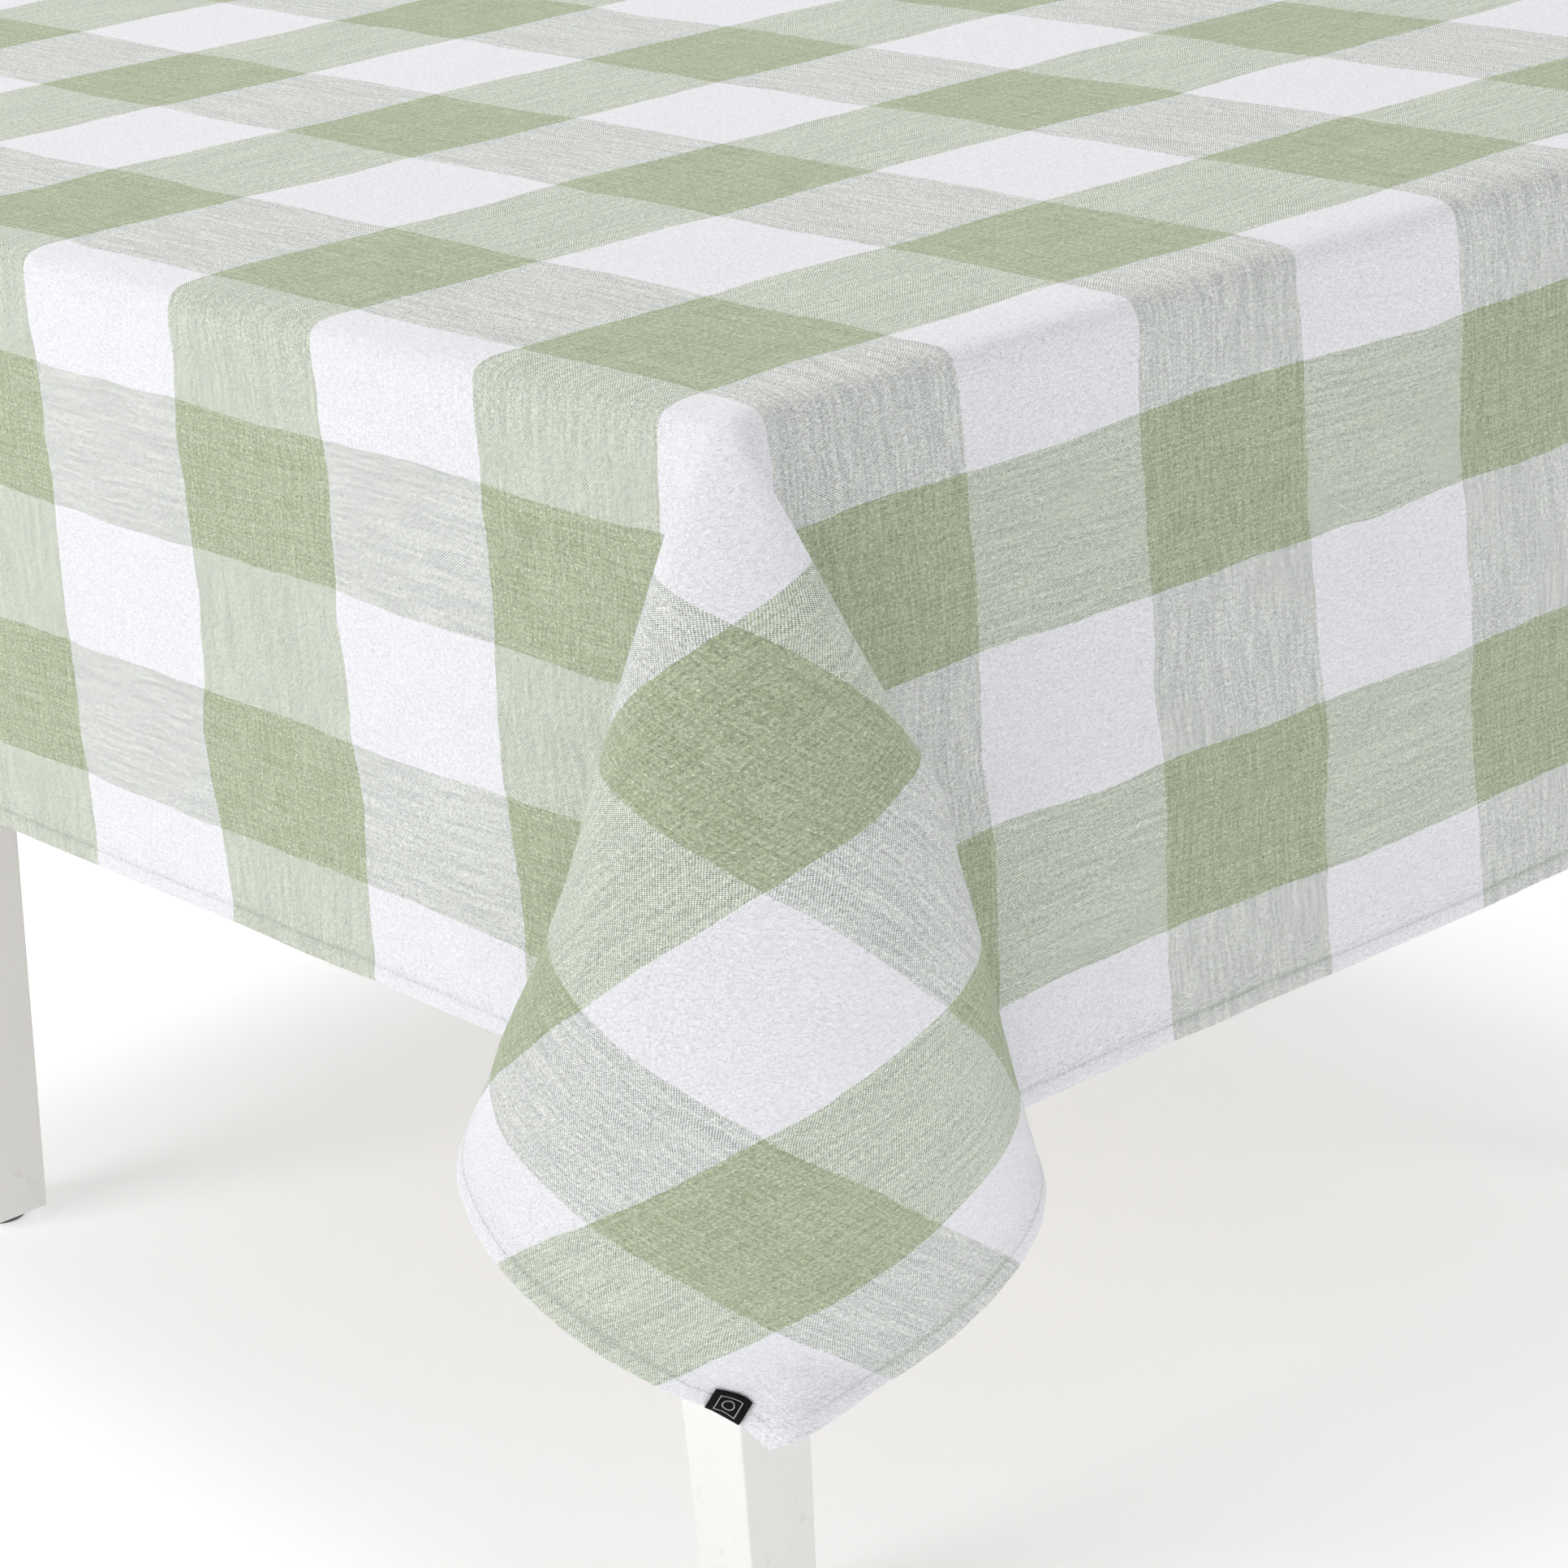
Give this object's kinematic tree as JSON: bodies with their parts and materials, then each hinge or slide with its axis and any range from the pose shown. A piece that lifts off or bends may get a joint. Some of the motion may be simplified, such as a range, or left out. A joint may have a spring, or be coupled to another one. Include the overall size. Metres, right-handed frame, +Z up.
{
  "type": "tablecloth on a table",
  "caption": "Checked cotton tablecloth draped over a rectangular wooden table, with straight drops, rounded corner folds and a small square label",
  "frame": {"origin": "on the floor, under the middle of the table", "axes": "+Z up, +Y along the table's length, +X along its width. The label is at the corner towards -X and -Y"},
  "size_m": [1.2416, 1.4042, 0.7499],
  "materials": {
    "oak": "oiled, satin",
    "painted_wood": "white paint, satin",
    "zinc_steel": "zinc plated",
    "felt": "pressed felt",
    "checked_cotton": "woven, matt",
    "woven_label": "woven, matt"
  },
  "bodies": {
    "table": {"apron_back": "painted_wood", "apron_front": "painted_wood", "apron_left": "painted_wood", "apron_right": "painted_wood", "clip_screw_back": "zinc_steel", "clip_screw_front": "zinc_steel", "clip_screw_left_1": "zinc_steel", "clip_screw_left_2": "zinc_steel", "clip_screw_right_1": "zinc_steel", "clip_screw_right_2": "zinc_steel", "corner_bracket_back_left": "zinc_steel", "corner_bracket_back_right": "zinc_steel", "corner_bracket_front_left": "zinc_steel", "corner_bracket_front_right": "zinc_steel", "foot_glide_back_left": "felt", "foot_glide_back_right": "felt", "foot_glide_front_left": "felt", "foot_glide_front_right": "felt", "hanger_bolt_back_left": "zinc_steel", "hanger_bolt_back_right": "zinc_steel", "hanger_bolt_front_left": "zinc_steel", "hanger_bolt_front_right": "zinc_steel", "hex_nut_back_left": "zinc_steel", "hex_nut_back_right": "zinc_steel", "hex_nut_front_left": "zinc_steel", "hex_nut_front_right": "zinc_steel", "leg_back_left": "painted_wood", "leg_back_right": "painted_wood", "leg_front_left": "painted_wood", "leg_front_right": "painted_wood", "tabletop_end_board_back": "oak", "tabletop_end_board_front": "oak", "tabletop_plank_1": "oak", "tabletop_plank_2": "oak", "tabletop_plank_3": "oak", "tabletop_plank_4": "oak", "tabletop_plank_5": "oak", "top_clip_back": "zinc_steel", "top_clip_front": "zinc_steel", "top_clip_left_1": "zinc_steel", "top_clip_left_2": "zinc_steel", "top_clip_right_1": "zinc_steel", "top_clip_right_2": "zinc_steel"},
    "tablecloth": {"cloth_corner_back_left": "checked_cotton", "cloth_corner_back_right": "checked_cotton", "cloth_corner_front_left": "checked_cotton", "cloth_corner_front_right": "checked_cotton", "cloth_drop_back": "checked_cotton", "cloth_drop_front": "checked_cotton", "cloth_drop_left": "checked_cotton", "cloth_drop_right": "checked_cotton", "cloth_top": "checked_cotton", "label": "woven_label"}
  },
  "joints": [
    {"name": "cloth_lift", "type": "slide", "parent": "table", "child": "tablecloth", "axis": [0, 0, 1], "range_m": [0, 0.56]}
  ]
}
